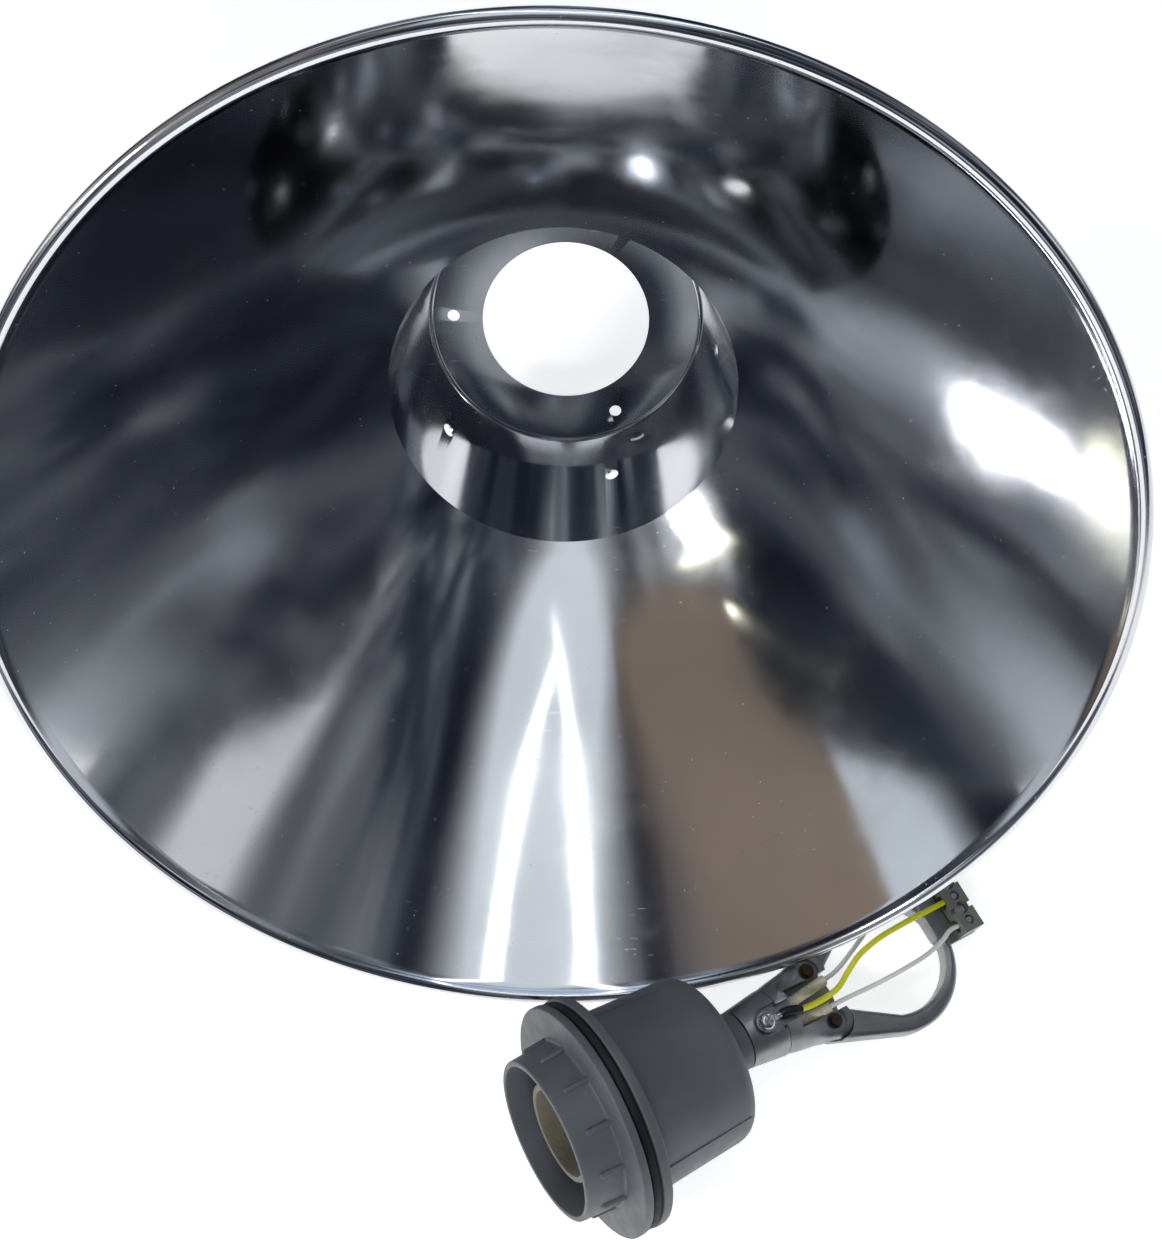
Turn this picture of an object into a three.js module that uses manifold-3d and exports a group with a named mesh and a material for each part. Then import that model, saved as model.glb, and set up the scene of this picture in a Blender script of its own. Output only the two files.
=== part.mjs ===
// An industrial pendant lamp, taken apart: a deep spun reflector lying on its side, and the
// lampholder with its hook lying in front of it.
// Millimetres, +Z up, standing on z = 0, with the origin under the middle of the whole set.

import * as THREE from 'three';
import { mergeVertices } from 'three/addons/utils/BufferGeometryUtils.js';
import Module from 'manifold-3d';

const wasm = await Module();
wasm.setup();

// ---------------------------------------------------------------- driving dimensions

const GAP = 0.3;                      // space left between pieces that touch

// Reflector, spun from one sheet. Depths are measured back from the middle of the rolled bead.
const RIM_R = 205;                    // outside of the rolled bead
const BEAD_R = 2.75;
const SHEET = 1.2;
const CUP_EDGE_R = 76.8;
const CUP_EDGE_DEPTH = 165;
const CUP_END_R = 66;
const CUP_DEPTH = 241.5;
const CUP_CORNER = 3;
const HOLE_R = 39.8;
const PLATE_HOLE_R = 2.9;
const PLATE_HOLE_PITCH_R = 53.8;
const VENT_R = 3.3;
const VENT_DEPTH = 208.7;
const REFLECTOR_AT = [0, -20.4];      // where the middle of the mouth stands, seen from above
const REFLECTOR_YAW = -0.54;

// Lampholder. Its own frame has x along the axis from the collar's mouth to the hook, z up.
const HOLDER_AT = [-5.2, -185.6, 52.6];
const HOLDER_YAW = 27.8;
const HOLDER_PITCH = 15.31;           // how far the hook end dips

const COLLAR_R = 32.2;
const COLLAR_BASE_R = 33.4;
const COLLAR_BORE_R = 30;
const FLANGE_R = 46.9;
const FLANGE_X = [16.2, 20];
const RIB_COUNT = 12;
const RIB_START_X = 6;
const RIB_R = 0.95;
const RIB_OFFSET = 13;
const GASKET_X = [20.3, 24.2];
const GASKET_R = [30.2, 45.2];
const REAR_FLANGE_R = 46.9;
const REAR_FLANGE_X = [24.5, 28.5];
const NOSE_R = 29.5;
const NOSE_BORE_R = 26.5;
const NOSE_X = 14;
const BODY_R = [36.9, 34.6];          // at the rear flange and at the rear corner
const BODY_END_X = 78;
const BODY_CORNER = 6;
const CAVITY_R = 31.5;
const CAVITY_X = [32, 73];
const SPIGOT_R = 12.2;
const SPIGOT_END_X = 91.6;
const BORE_R = 9;
const RAIL_ANGLE = 58;

const CERAMIC_R = 20;
const CERAMIC_X = [6.5, 55];
const CERAMIC_SKIRT_R = 17.4;
const CERAMIC_WELL_R = 14.9;
const CERAMIC_BASE_X = 50;
const CERAMIC_FOOT_R = 26;
const SHELL_R = 13.6;                 // medium Edison screw, 27 mm
const SHELL_PITCH = 3.6;
const SHELL_X = [24, 47];
const SOCKET_SCREW_Z = 22.3;
const TONGUE_HINGE = [49, 0, -9.5];

const NIPPLE_R = [6.5, 8.6];
const NIPPLE_X = [68.2, 115];
const NECK_X = [92, 108.4];
const NECK_R = [12.3, 14.3];
const EARTH_X = 101.3;
const EARTH_FLOOR_Z = 10.7;
const EARTH_RECESS_R = 5.7;

const YOKE_X = 108.7;
const LUG = { x: 132.9, y: 11.4, r: 7.8, low: 1.2, seat: 4, top: 6.4 };
const WINDOW = { x: 115.8, halfWidth: 8.4, floor: -2.5 };

const HOOK_HALF = 5;                  // half of the loop's thickness
const HOOK_RISE = 4.7;                // degrees that the loop is bent up, from the lugs on
const HOOK_ARC = { x: 168.5, r: 31 };
const HOOK_EYE = { x: 170, along: 25.5, across: 23.4 };
const HOOK_ROOT_X = 126.5;
const LEDGE = { x: [197, 213], y: [-6.5, 26.6], z: [-1.4, 2.5] };

const BLOCK = { x: [203, 212.6], y: [-6.2, 26.2], z: [2.8, 13.2] };
const POLE_Y = [-1.6, 10, 21.6];
const POLE_Z = 8;
const BLOCK_SCREW_Y = [4.2, 15.8];

const LEAD_R = 1;
const EARTH_WIRE_R = 1.25;
const SLEEVE_R = [1.35, 2.3];

// ---------------------------------------------------------------- materials

function finish(color, roughness, metalness) {
  return new THREE.MeshStandardMaterial({ color, roughness, metalness });
}

const MATERIAL = {
  mirror: finish(0xd4d7da, 0.08, 1),
  plastic: finish(0x75797e, 0.55, 0),
  rubber: finish(0x111214, 0.7, 0),
  ceramic: finish(0xb9b2a3, 0.6, 0),
  brass: finish(0xc9a75a, 0.35, 1),
  steel: finish(0xb5b8ba, 0.3, 1),
  casting: finish(0x7f8385, 0.45, 0.8),
  block: finish(0x8a8f7e, 0.35, 0),
  sleeve: finish(0xc9c1a6, 0.9, 0),
  yellow: finish(0xd9df1c, 0.4, 0),
  white: finish(0xe4e6e8, 0.4, 0),
};

// ---------------------------------------------------------------- geometry helpers

function rad(degrees) {
  return THREE.MathUtils.degToRad(degrees);
}

function solid(geometry) {
  // A three.js geometry as a manifold solid: positions only, shared corners merged, and the
  // triangles that the merge has collapsed left out.
  const bare = geometry.clone();
  bare.deleteAttribute('normal');
  bare.deleteAttribute('uv');
  const merged = mergeVertices(bare, 1e-4);
  const index = merged.index.array;
  const kept = [];
  for (let i = 0; i < index.length; i += 3) {
    const [a, b, c] = [index[i], index[i + 1], index[i + 2]];
    if (a !== b && b !== c && c !== a) kept.push(a, b, c);
  }
  return new wasm.Manifold(new wasm.Mesh({
    numProp: 3,
    vertProperties: Float32Array.from(merged.attributes.position.array),
    triVerts: Uint32Array.from(kept),
  }));
}

function geometryOf(body) {
  const out = body.getMesh();
  const geometry = new THREE.BufferGeometry();
  geometry.setAttribute('position', new THREE.BufferAttribute(out.vertProperties, 3));
  geometry.setIndex(new THREE.BufferAttribute(out.triVerts, 1));
  return geometry;
}

function revolveZ(profile, segments) {
  // Turns a closed outline of [radius, height] points about Z. The outline runs anticlockwise
  // when radius is drawn to the right and height upwards.
  const points = profile.map(([r, z]) => new THREE.Vector2(r, z));
  return new THREE.LatheGeometry(points, segments).rotateX(Math.PI / 2);
}

function revolveX(profile, segments) {
  // The same about the lampholder's own axis, from points of [x, radius].
  const points = profile.map(([x, r]) => new THREE.Vector2(r, x));
  return new THREE.LatheGeometry(points, segments).rotateZ(-Math.PI / 2);
}

function closed(points) {
  return [...points, points[0]];
}

function ringX(x0, x1, inner, outer, segments) {
  return revolveX(closed([[x0, inner], [x0, outer], [x1, outer], [x1, inner]]), segments);
}

function rodX(x0, x1, radius, segments) {
  return revolveX([[x0, 0], [x0, radius], [x1, radius], [x1, 0]], segments);
}

function rodZ(x, y, z0, z1, radius, segments) {
  const rod = new THREE.CylinderGeometry(radius, radius, z1 - z0, segments);
  return rod.rotateX(Math.PI / 2).translate(x, y, (z0 + z1) / 2);
}

function block(x, y, z) {
  const box = new THREE.BoxGeometry(x[1] - x[0], y[1] - y[0], z[1] - z[0]);
  return box.translate((x[0] + x[1]) / 2, (y[0] + y[1]) / 2, (z[0] + z[1]) / 2);
}

function plate(shape, z0, z1, curveSegments = 12) {
  const options = { depth: z1 - z0, bevelEnabled: false, curveSegments };
  return new THREE.ExtrudeGeometry(shape, options).translate(0, 0, z0);
}

function hexagon(radius) {
  const corners = [0, 1, 2, 3, 4, 5].map((i) => [i * 60, radius]);
  return new THREE.Shape(corners.map(([a, r]) => new THREE.Vector2(r * Math.cos(rad(a)), r * Math.sin(rad(a)))));
}

function bent(points) {
  // The points past the lugs, moved as onHook moves a piece of the loop.
  const rise = rad(HOOK_RISE);
  return points.map(([x, y, z]) => {
    const along = x - LUG.x;
    if (along <= 0) return [x, y, z];
    return [
      LUG.x + along * Math.cos(rise) - z * Math.sin(rise), y, along * Math.sin(rise) + z * Math.cos(rise),
    ];
  });
}

function tube(points, outer, inner, steps, sides) {
  // A round tube along a smooth curve, bored through when an inner radius is given. A full
  // circle is cut into twice as many sides as its curve segments.
  const curve = new THREE.CatmullRomCurve3(points.map((p) => new THREE.Vector3(...p)), false, 'centripetal');
  const section = new THREE.Shape().absarc(0, 0, outer, 0, 2 * Math.PI, false);
  if (inner > 0) section.holes.push(new THREE.Path().absarc(0, 0, inner, 0, 2 * Math.PI, true));
  return new THREE.ExtrudeGeometry(section, { steps, curveSegments: sides / 2, extrudePath: curve });
}

function loft(sections) {
  // A closed skin through rings of equal point counts, each ring running anticlockwise when
  // it is seen from further along x.
  const count = sections[0].length;
  const position = sections.flat(2);
  const index = [];
  for (let s = 0; s + 1 < sections.length; s += 1) {
    for (let i = 0; i < count; i += 1) {
      const j = (i + 1) % count;
      const [a, b] = [s * count + i, s * count + j];
      index.push(a, b, b + count, a, b + count, a + count);
    }
  }
  const last = (sections.length - 1) * count;
  for (let i = 1; i + 1 < count; i += 1) {
    index.push(0, i + 1, i);
    index.push(last, last + i, last + i + 1);
  }
  const geometry = new THREE.BufferGeometry();
  geometry.setAttribute('position', new THREE.Float32BufferAttribute(position, 3));
  geometry.setIndex(index);
  return geometry;
}

function roundedRing(x, halfWidth, top, bottom, power) {
  // One section of the yoke: a rounded box across the axis, from a circle (power 2) upwards.
  const ring = [];
  const count = 28;
  for (let i = 0; i < count; i += 1) {
    const angle = (i / count) * 2 * Math.PI;
    const [c, s] = [Math.cos(angle), Math.sin(angle)];
    const y = halfWidth * Math.sign(c) * Math.abs(c) ** (2 / power);
    const z = Math.sign(s) * Math.abs(s) ** (2 / power);
    ring.push([x, y, (top + bottom) / 2 + (z * (top - bottom)) / 2]);
  }
  return ring;
}

// ---------------------------------------------------------------- the object, in two groups

const lamp = new THREE.Group();
const reflectorSide = new THREE.Group();
const holder = new THREE.Group();
lamp.add(reflectorSide, holder);

function add(group, name, geometry, material) {
  const mesh = new THREE.Mesh(geometry, material);
  mesh.name = name;
  group.add(mesh);
  return mesh;
}

// ---------------------------------------------------------------- reflector

function bowlRadius(depth) {
  // The inside of the flank: a parabola from the bead to the edge of the neck cup.
  const mouth = RIM_R - 2 * BEAD_R;
  const fall = (1 - (CUP_EDGE_R / mouth) ** 2) / CUP_EDGE_DEPTH;
  return mouth * Math.sqrt(1 - fall * depth);
}

function reflectorProfile() {
  const flank = [];
  const steps = 7;
  for (let i = 0; i <= steps; i += 1) {
    const depth = (i / steps) ** 1.1 * CUP_EDGE_DEPTH;
    flank.push([bowlRadius(depth), -depth]);
  }
  const corner = [];
  const cornerInner = CUP_CORNER - SHEET;
  for (let i = 0; i <= 3; i += 1) {
    const angle = rad(i * 30);
    corner.push([
      CUP_END_R - CUP_CORNER + cornerInner * Math.cos(angle),
      -(CUP_DEPTH - CUP_CORNER) - cornerInner * Math.sin(angle),
    ]);
  }
  const inside = [...flank, ...corner, [HOLE_R, -(CUP_DEPTH - SHEET)]];

  const outerCorner = [];
  for (let i = 3; i >= 0; i -= 1) {
    const angle = rad(i * 30);
    outerCorner.push([
      CUP_END_R - CUP_CORNER + CUP_CORNER * Math.cos(angle),
      -(CUP_DEPTH - CUP_CORNER) - CUP_CORNER * Math.sin(angle),
    ]);
  }
  const outerFlank = flank.slice(1, -1).reverse().map(([r, z]) => [r + SHEET * 0.85, z - SHEET * 0.55]);
  const root = [CUP_EDGE_R + 0.4, -(CUP_EDGE_DEPTH + SHEET)];
  const bead = [];
  for (let i = 0; i < 8; i += 1) {
    const angle = rad(-115 + i * 36);
    bead.push([RIM_R - BEAD_R + BEAD_R * Math.cos(angle), BEAD_R * Math.sin(angle)]);
  }
  return closed([
    ...inside, [HOLE_R, -CUP_DEPTH], ...outerCorner, root, ...outerFlank, ...bead,
  ]);
}

function buildReflector() {
  let shell = solid(revolveZ(reflectorProfile(), 40));
  const plateHole = new THREE.CylinderGeometry(PLATE_HOLE_R, PLATE_HOLE_R, 20, 8).rotateX(Math.PI / 2);
  for (const angle of [57.2, 177.2, 297.2]) {
    const x = PLATE_HOLE_PITCH_R * Math.cos(rad(angle));
    const y = PLATE_HOLE_PITCH_R * Math.sin(rad(angle));
    shell = shell.subtract(solid(plateHole.clone().translate(x, y, -CUP_DEPTH)));
  }
  for (let i = 0; i < 5; i += 1) {
    const vent = new THREE.CylinderGeometry(VENT_R, VENT_R, 40, 8).rotateZ(Math.PI / 2);
    vent.translate(70, 0, -VENT_DEPTH).rotateZ(rad(1.1 + 72 * i));
    shell = shell.subtract(solid(vent));
  }
  add(reflectorSide, 'reflector', geometryOf(shell), MATERIAL.mirror);
}

// ---------------------------------------------------------------- collar, gasket and housing

function buildLockRing() {
  const [f0, f1] = FLANGE_X;
  const profile = closed([
    [0.8, COLLAR_BORE_R], [0, COLLAR_BORE_R + 0.6], [0, COLLAR_R - 0.8], [0.8, COLLAR_R],
    [f0, COLLAR_BASE_R], [f0, FLANGE_R - 0.6], [f0 + 0.6, FLANGE_R], [f1 - 0.6, FLANGE_R],
    [f1, FLANGE_R - 0.6], [f1, COLLAR_BORE_R],
  ]);
  let ring = solid(revolveX(profile, 40));
  const ribLength = f0 + 1 - RIB_START_X;
  for (let i = 0; i < RIB_COUNT; i += 1) {
    const rib = new THREE.CapsuleGeometry(RIB_R, ribLength, 1, 6).rotateZ(-Math.PI / 2);
    const lean = Math.atan((COLLAR_BASE_R - COLLAR_R) / f0);
    rib.rotateY(-lean).translate(RIB_START_X + RIB_R + ribLength / 2, 0, COLLAR_BASE_R - 0.1);
    rib.rotateX(rad(RIB_OFFSET + (360 / RIB_COUNT) * i));
    ring = ring.add(solid(rib));
  }
  const behind = solid(ringX(f1, f1 + 6, COLLAR_BORE_R - 1, FLANGE_R, 24));
  add(holder, 'lock_ring', geometryOf(ring.subtract(behind)), MATERIAL.plastic);
}

function buildGasket() {
  const [x0, x1] = GASKET_X;
  const [inner, outer] = GASKET_R;
  const profile = closed([
    [x0, inner], [x0, outer - 0.8], [x0 + 0.8, outer], [x1 - 0.8, outer], [x1, outer - 0.8], [x1, inner],
  ]);
  add(holder, 'gasket', revolveX(profile, 40), MATERIAL.rubber);
}

function buildHousing() {
  const [f0, f1] = REAR_FLANGE_X;
  const cornerX = BODY_END_X - BODY_CORNER;
  const corner = [];
  for (let i = 0; i <= 3; i += 1) {
    const angle = rad(i * 30);
    corner.push([
      cornerX + BODY_CORNER * Math.sin(angle),
      BODY_R[1] - BODY_CORNER + BODY_CORNER * Math.cos(angle),
    ]);
  }
  const profile = closed([
    [NOSE_X, NOSE_BORE_R], [NOSE_X, NOSE_R - 0.6], [NOSE_X + 0.6, NOSE_R], [f0, NOSE_R],
    [f0, REAR_FLANGE_R - 0.6], [f0 + 0.6, REAR_FLANGE_R], [f1 - 0.6, REAR_FLANGE_R],
    [f1, REAR_FLANGE_R - 0.6], [f1, BODY_R[0]], ...corner, [BODY_END_X + 0.8, SPIGOT_R + 0.8],
    [BODY_END_X + 1.6, SPIGOT_R], [SPIGOT_END_X, SPIGOT_R], [SPIGOT_END_X, BORE_R],
    [CAVITY_X[1], BORE_R], [CAVITY_X[1], CAVITY_R], [CAVITY_X[0], CAVITY_R], [CAVITY_X[0], NOSE_BORE_R],
  ]);
  let body = solid(revolveX(profile, 40));
  const lean = Math.atan((BODY_R[0] - BODY_R[1]) / (cornerX - f1));
  for (const angle of [-RAIL_ANGLE, RAIL_ANGLE, 180 - RAIL_ANGLE, 180 + RAIL_ANGLE]) {
    const rail = block([f1 + 4, BODY_END_X - 2.2], [-0.7, 0.7], [-2.5, 0.8]);
    rail.translate(-f1, 0, 0).rotateY(lean).translate(f1, 0, BODY_R[0]).rotateX(rad(angle));
    body = body.add(solid(rail));
  }
  for (const z of [-SOCKET_SCREW_Z, SOCKET_SCREW_Z]) {
    const boss = rodX(CERAMIC_X[1] + GAP, CAVITY_X[1] + 1, 4.2, 16).translate(0, 0, z);
    const hole = rodX(CERAMIC_X[1] - 1, CERAMIC_X[1] + 12, 2.3, 16).translate(0, 0, z);
    body = body.add(solid(boss)).subtract(solid(hole));
  }
  add(holder, 'housing', geometryOf(body), MATERIAL.plastic);
}

// ---------------------------------------------------------------- ceramic socket and contacts

function buildCeramic() {
  const [x0, x1] = CERAMIC_X;
  const profile = closed([
    [x0, CERAMIC_SKIRT_R + 0.6], [x0, CERAMIC_R - 0.8], [x0 + 0.8, CERAMIC_R], [34, CERAMIC_R],
    [CERAMIC_BASE_X - 1, 18], [CERAMIC_BASE_X, 18], [CERAMIC_BASE_X, CERAMIC_FOOT_R], [x1, CERAMIC_FOOT_R],
    [x1, 3], [CERAMIC_BASE_X, 3], [CERAMIC_BASE_X, CERAMIC_WELL_R], [SHELL_X[0] - 1, CERAMIC_WELL_R],
    [SHELL_X[0] - 3, CERAMIC_SKIRT_R - 0.8], [x0 + 1, CERAMIC_SKIRT_R],
  ]);
  let body = solid(revolveX(profile, 28));
  for (const z of [-SOCKET_SCREW_Z, SOCKET_SCREW_Z]) {
    const hole = rodX(CERAMIC_BASE_X - 1, x1 + 1, 2.3, 16).translate(0, 0, z);
    body = body.subtract(solid(hole));
  }
  add(holder, 'ceramic_socket', geometryOf(body), MATERIAL.ceramic);
}

function buildScrewShell() {
  const thickness = 0.4;
  const depth = 0.45;
  const wave = [];
  const steps = 12;
  for (let i = 0; i <= steps; i += 1) {
    const x = SHELL_X[0] + (i / steps) * (SHELL_X[1] - SHELL_X[0]);
    wave.push([x, SHELL_R + depth * Math.sin((2 * Math.PI * x) / SHELL_PITCH)]);
  }
  const outside = wave.map(([x, r]) => [x, r + thickness]);
  add(holder, 'screw_shell', revolveX(closed([...outside, ...wave.reverse()]), 16), MATERIAL.brass);
}

function buildCentreContact() {
  // A sprung tongue that stands off the base of the well, and the plate that it springs from.
  const [hx, , hz] = TONGUE_HINGE;
  add(holder, 'contact_base', block([hx - 0.4, hx + 0.6], [-3, 3], [hz - 3.6, hz - 0.4]), MATERIAL.brass);
  const outline = new THREE.Shape();
  outline.moveTo(hx - 0.35, hz);
  outline.lineTo(hx - 4.2, hz + 8);
  outline.quadraticCurveTo(hx - 5.2, hz + 9.8, hx - 4.2, hz + 11.6);
  outline.lineTo(hx - 3.6, hz + 11.3);
  outline.quadraticCurveTo(hx - 4.4, hz + 9.8, hx - 3.6, hz + 8.2);
  outline.lineTo(hx + 0.35, hz);
  outline.closePath();
  const tongue = plate(outline, -2.5, 2.5, 5).rotateX(Math.PI / 2);
  add(holder, 'centre_contact', tongue, MATERIAL.brass);
}

function buildSocketFasteners() {
  const sides = [['a', -1], ['b', 1]];
  for (const [letter, side] of sides) {
    const z = side * SOCKET_SCREW_Z;
    const screw = revolveX([
      [CERAMIC_BASE_X - 2.6, 0], [CERAMIC_BASE_X - 2.6, 2.2], [CERAMIC_BASE_X - 1.8, 3], [CERAMIC_BASE_X - GAP, 3],
      [CERAMIC_BASE_X - GAP, 1.9], [CERAMIC_X[1] + 10, 1.9], [CERAMIC_X[1] + 10, 0],
    ], 16).translate(0, 0, z);
    add(holder, `socket_screw_${letter}`, screw, MATERIAL.steel);

    const y = side * 10;
    const x0 = CERAMIC_X[1] + GAP;
    let terminal = solid(block([x0, x0 + 7], [y - 3.2, y + 3.2], [-3.5, 3.5]));
    terminal = terminal.subtract(solid(rodX(x0 + 2.4, x0 + 8, LEAD_R + GAP, 12).translate(0, y, 0)));
    terminal = terminal.subtract(solid(rodZ(x0 + 4.6, y, 1, 4, 1.8, 12)));
    add(holder, `socket_terminal_${letter}`, geometryOf(terminal), MATERIAL.brass);
    const pin = solid(rodZ(x0 + 4.6, y, LEAD_R + 0.35, 4.4, 1.5, 12));
    const head = solid(rodZ(x0 + 4.6, y, 3.8, 5.4, 2.4, 12));
    add(holder, `socket_terminal_screw_${letter}`, geometryOf(pin.add(head)), MATERIAL.steel);
  }
}

// ---------------------------------------------------------------- neck and earth connection

function buildNeck() {
  const tubeBody = solid(revolveX(closed([
    [NECK_X[0], BORE_R], [NECK_X[0], NECK_R[0] - 0.4], [NECK_X[0] + 0.4, NECK_R[0]],
    [NECK_X[1] - 0.4, NECK_R[1]], [NECK_X[1], NECK_R[1] - 0.4], [NECK_X[1], BORE_R],
  ]), 32));
  const recess = solid(rodZ(EARTH_X, 0, EARTH_FLOOR_Z, 20, EARTH_RECESS_R, 24))
    .add(solid(block([EARTH_X, NECK_X[1] + 1], [-EARTH_RECESS_R, EARTH_RECESS_R], [EARTH_FLOOR_Z, 20])));
  const screwHole = solid(rodZ(EARTH_X, 0, 5, 20, 2.25, 16));
  add(holder, 'neck_tube', geometryOf(tubeBody.subtract(recess).subtract(screwHole)), MATERIAL.casting);

  add(holder, 'nipple', ringX(NIPPLE_X[0], NIPPLE_X[1], NIPPLE_R[0], NIPPLE_R[1], 32), MATERIAL.steel);
  const nutShape = hexagon(13);
  nutShape.holes.push(new THREE.Path().absarc(0, 0, NIPPLE_R[1] + GAP, 0, 2 * Math.PI, true));
  const nut = plate(nutShape, CAVITY_X[1] - 5, CAVITY_X[1] - GAP, 12);
  nut.rotateY(Math.PI / 2);
  add(holder, 'nipple_nut', nut, MATERIAL.steel);
}

function buildEarthConnection() {
  const terminalZ = [EARTH_FLOOR_Z + GAP, EARTH_FLOOR_Z + GAP + 0.8];
  const washerZ = [terminalZ[1] + GAP, terminalZ[1] + GAP + 0.7];
  const headZ = washerZ[1] + GAP;

  const head = new THREE.LatheGeometry([
    new THREE.Vector2(0, 9.4), new THREE.Vector2(1.9, 9.4), new THREE.Vector2(1.9, headZ),
    new THREE.Vector2(3.5, headZ), new THREE.Vector2(3.5, headZ + 1.1), new THREE.Vector2(2.6, headZ + 2.1),
    new THREE.Vector2(0, headZ + 2.4),
  ], 20).rotateX(Math.PI / 2).translate(EARTH_X, 0, 0);
  const slotAcross = block([EARTH_X - 2, EARTH_X + 2], [-0.45, 0.45], [headZ + 1, headZ + 3]);
  const slotAlong = block([EARTH_X - 0.45, EARTH_X + 0.45], [-2, 2], [headZ + 1, headZ + 3]);
  const cross = solid(slotAcross).add(solid(slotAlong));
  add(holder, 'earth_screw', geometryOf(solid(head).subtract(cross)), MATERIAL.steel);

  const ring = solid(rodZ(EARTH_X, 0, washerZ[0], washerZ[1], 4.3, 24));
  const washer = ring.subtract(solid(rodZ(EARTH_X, 0, 5, 20, 2.2, 16)));
  add(holder, 'earth_washer', geometryOf(washer), MATERIAL.steel);

  const lineZ = terminalZ[0] + 1.3;
  const eye = solid(rodZ(EARTH_X, 0, terminalZ[0], terminalZ[1], 3.9, 24));
  const neck = solid(block([EARTH_X, EARTH_X + 6.4], [-1.3, 1.3], terminalZ));
  const barrel = solid(rodX(EARTH_X + 5.4, EARTH_X + 9.4, 1.25, 12).translate(0, 0, lineZ));
  const lug = eye.add(neck).add(barrel).subtract(solid(rodZ(EARTH_X, 0, 5, 20, 2.2, 16)));
  add(holder, 'ring_terminal', geometryOf(lug), MATERIAL.steel);

  const shrinkPath = [
    [EARTH_X + 7.6, 0, lineZ], [EARTH_X + 10, 0, lineZ], [EARTH_X + 13.5, -0.8, lineZ + 0.1], [EARTH_X + 17, -1.8, lineZ - 0.3],
  ];
  add(holder, 'heat_shrink', tube(shrinkPath, 2, 1.55, 7, 8), MATERIAL.rubber);
  const wirePath = [
    [EARTH_X + 10, 0, lineZ], [EARTH_X + 13.5, -0.8, lineZ + 0.1], [EARTH_X + 17, -1.8, lineZ - 0.3],
    [EARTH_X + 26, -2.3, 10.6], [EARTH_X + 38, -1, 10.2], [EARTH_X + 46, 2.9, 10], [EARTH_X + 54, 6.6, 9.8],
    [EARTH_X + 66, 9.1, 9.4], [EARTH_X + 80, 9.9, 8.7], [BLOCK.x[0] - 6, POLE_Y[1], POLE_Z], [BLOCK.x[0] + 3.5, POLE_Y[1], POLE_Z],
  ];
  add(holder, 'earth_wire', tube(bent(wirePath), EARTH_WIRE_R, 0, 30, 8), MATERIAL.yellow);
}

// ---------------------------------------------------------------- yoke and hook

function buildYoke() {
  const body = solid(loft([
    roundedRing(YOKE_X, 14, 14, -14, 2),
    roundedRing(YOKE_X + 3, 14.6, 13.6, -13.6, 2.1),
    roundedRing(YOKE_X + 8, 15.4, 11.2, -12.4, 2.5),
    roundedRing(YOKE_X + 14, 16.2, 8.2, -9.6, 3),
    roundedRing(YOKE_X + 19, 17.7, 6.6, -7.4, 3),
    roundedRing(YOKE_X + 24, 19, LUG.top, -6.6, 3),
    roundedRing(YOKE_X + 32.8, 19.2, LUG.top, -6.4, 3.4),
  ]));
  const [x0, end] = [LUG.x, YOKE_X + 40];
  const outside = new THREE.Shape();
  outside.moveTo(YOKE_X - 1, -30);
  outside.lineTo(x0, -30);
  outside.lineTo(x0, -LUG.y - LUG.r);
  outside.absarc(x0, -LUG.y, LUG.r, -Math.PI / 2, 0.35, false);
  outside.quadraticCurveTo(x0 + 10.5, 0, x0 + LUG.r * Math.cos(0.35), LUG.y - LUG.r * Math.sin(0.35));
  outside.absarc(x0, LUG.y, LUG.r, -0.35, Math.PI / 2, false);
  outside.lineTo(x0, 30);
  outside.lineTo(YOKE_X - 1, 30);
  outside.closePath();
  let yoke = body.intersect(solid(plate(outside, -20, 20, 10)));

  const { x, halfWidth, floor } = WINDOW;
  yoke = yoke.subtract(solid(rodX(YOKE_X - 1, x + 6, BORE_R, 32)));
  yoke = yoke.subtract(solid(block([x, end], [-halfWidth, halfWidth], [floor, 20])));
  for (const side of [-1, 1]) {
    const under = block([HOOK_ROOT_X - 3 * GAP, end], [side * 14.9 - 6.2, side * 14.9 + 6.2], [-20, LUG.low]);
    yoke = yoke.subtract(solid(under));
    yoke = yoke.subtract(solid(rodZ(LUG.x, side * LUG.y, LUG.seat, 20, 4.9, 20)));
    yoke = yoke.subtract(solid(rodZ(LUG.x, side * LUG.y, 0, 20, 1.95, 16)));
  }
  const recess = solid(block([YOKE_X - 1, WINDOW.x + 1], [-4.4, 4.4], [EARTH_FLOOR_Z - 0.7, 20]));
  add(holder, 'yoke', geometryOf(yoke.subtract(recess)), MATERIAL.casting);

  for (const [letter, side] of [['a', -1], ['b', 1]]) {
    const y = side * LUG.y;
    const head = plate(hexagon(2.7), LUG.seat + 0.8, LUG.top).rotateZ(rad(12)).translate(LUG.x, y, 0);
    const bolt = solid(rodZ(LUG.x, y, LUG.seat + GAP, LUG.seat + 1, 3.2, 16)).add(solid(head))
      .add(solid(rodZ(LUG.x, y, -3.8, LUG.seat + 0.8, 1.6, 10)));
    add(holder, `yoke_bolt_${letter}`, geometryOf(bolt), MATERIAL.steel);
  }
}

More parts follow.
